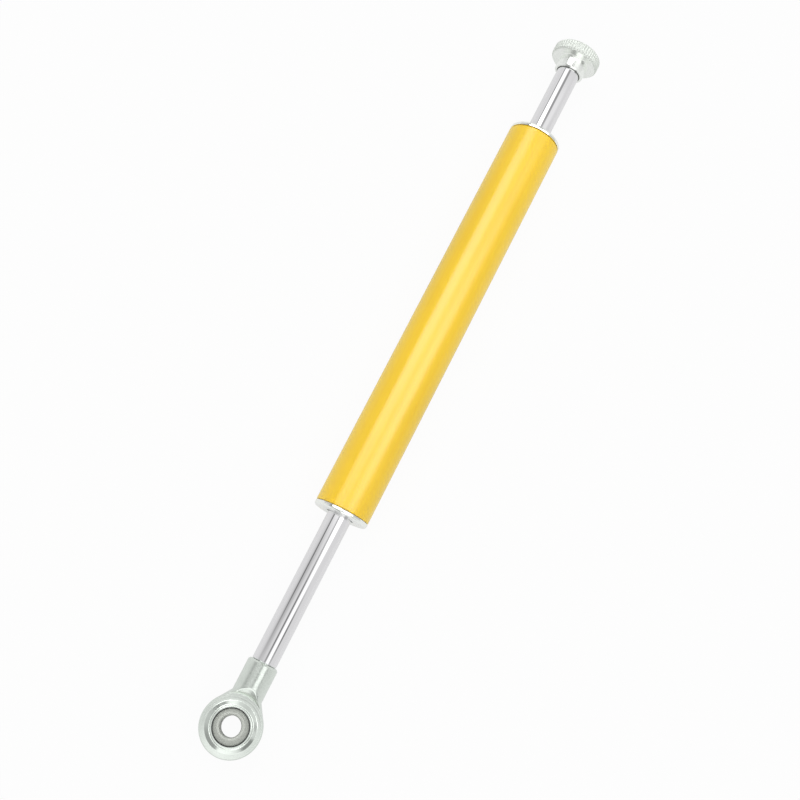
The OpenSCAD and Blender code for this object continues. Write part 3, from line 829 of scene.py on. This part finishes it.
def patch(swings, leans, swing_soft, lean_soft):
    """A patch of the tent between two angles about the damper and two leans along it"""
    across = window(swing, math.radians(swings[0]), math.radians(swings[1]), math.radians(swing_soft))
    along = window(lean, *leans, lean_soft)
    both = node(world, "ShaderNodeMath", {0: across, 1: along}, operation="MULTIPLY")
    return both.outputs["Value"]


def lit(level, share, target):
    """Moves the light of the tent toward a target level by a share"""
    made = node(world, "ShaderNodeMix", {"Factor": share}, data_type="FLOAT")
    made.inputs[3].default_value = target
    if isinstance(level, bpy.types.NodeSocket):
        world.node_tree.links.new(level, made.inputs[2])
    else:
        made.inputs[2].default_value = level
    return made.outputs[0]


light = tent_level
for swings, leans, swing_soft, lean_soft, level in (
        ((28, 66), (-0.75, 0.12), 14, 0.08, curtain_level),
        ((3, 50), (-0.13, -0.022), 4, 0.015, bench_level),
        ((-58, -16), (0.46, 0.508), 12, 0.012, wall_level),
        ((54, 90), (0.17, 0.45), 6, 0.03, side_level),
        ((-90, -50), (0.17, 0.46), 6, 0.03, side_level),
        ((8, 46), (0.12, 0.56), 4, 0.05, strip_level),
        ((16, 56), (0.60, 0.85), 6, 0.05, back_level),
        ((8, 46), (0.15, 0.475), 4, 0.03, panel_level),
        ((-38, -13), (-0.12, 0.12), 4, 0.05, strip_level),
        ((-43, -10), (0.12, 0.36), 5, 0.07, panel_level),
        ((-50, 11), (-1.30, -0.22), 6, 0.10, back_level),
        ((46, 57), (0.01, 0.45), 4, 0.04, seam_level),
        ((45.5, 52.5), (0.46, 0.75), 2, 0.02, seam_level),
        ((-7, 4), (-0.035, 0.065), 4, 0.03, seam_level),
        ((-2, 1.5), (0.05, 0.13), 1.5, 0.02, seam_level),
        ((-8, 7), (0.14, 0.39), 4, 0.03, bright_seam_level),
        ((-13, 7), (0.47, 0.75), 4, 0.02, fold_level),
        ((-52, -39), (-0.02, 0.03), 3, 0.03, seam_level),
        ((16, 60), (-1.30, -0.40), 6, 0.15, fold_level),
        ((-75, -46), (-0.60, -0.12), 7, 0.06, corner_level),
        ((-38, -8), (0.62, 0.90), 5, 0.05, gap_level)):
    light = lit(light, patch(swings, leans, swing_soft, lean_soft), level)
direct = node(world, "ShaderNodeLightPath").outputs["Is Camera Ray"]
light = lit(light, direct, 1.0)
world.node_tree.links.new(light, sky.inputs["Strength"])
sky.inputs["Color"].default_value = white

view_along = Vector((math.cos(camera_tilt), 0, math.sin(camera_tilt)))
view_side = Vector((0, -1, 0))
view_back = Vector((-math.sin(camera_tilt), 0, math.cos(camera_tilt)))
view_right = math.sin(camera_roll) * view_along + math.cos(camera_roll) * view_side
view_up = math.cos(camera_roll) * view_along - math.sin(camera_roll) * view_side
camera_data = bpy.data.cameras.new("camera")
camera_data.lens = camera_lens
camera = bpy.data.objects.new("camera", camera_data)
camera.matrix_world = Matrix.Translation(camera_place) @ Matrix(
    (view_right, view_up, view_back)).transposed().to_4x4()
bpy.context.scene.collection.objects.link(camera)
bpy.context.scene.camera = camera
bpy.context.scene.view_settings.view_transform = "Standard"
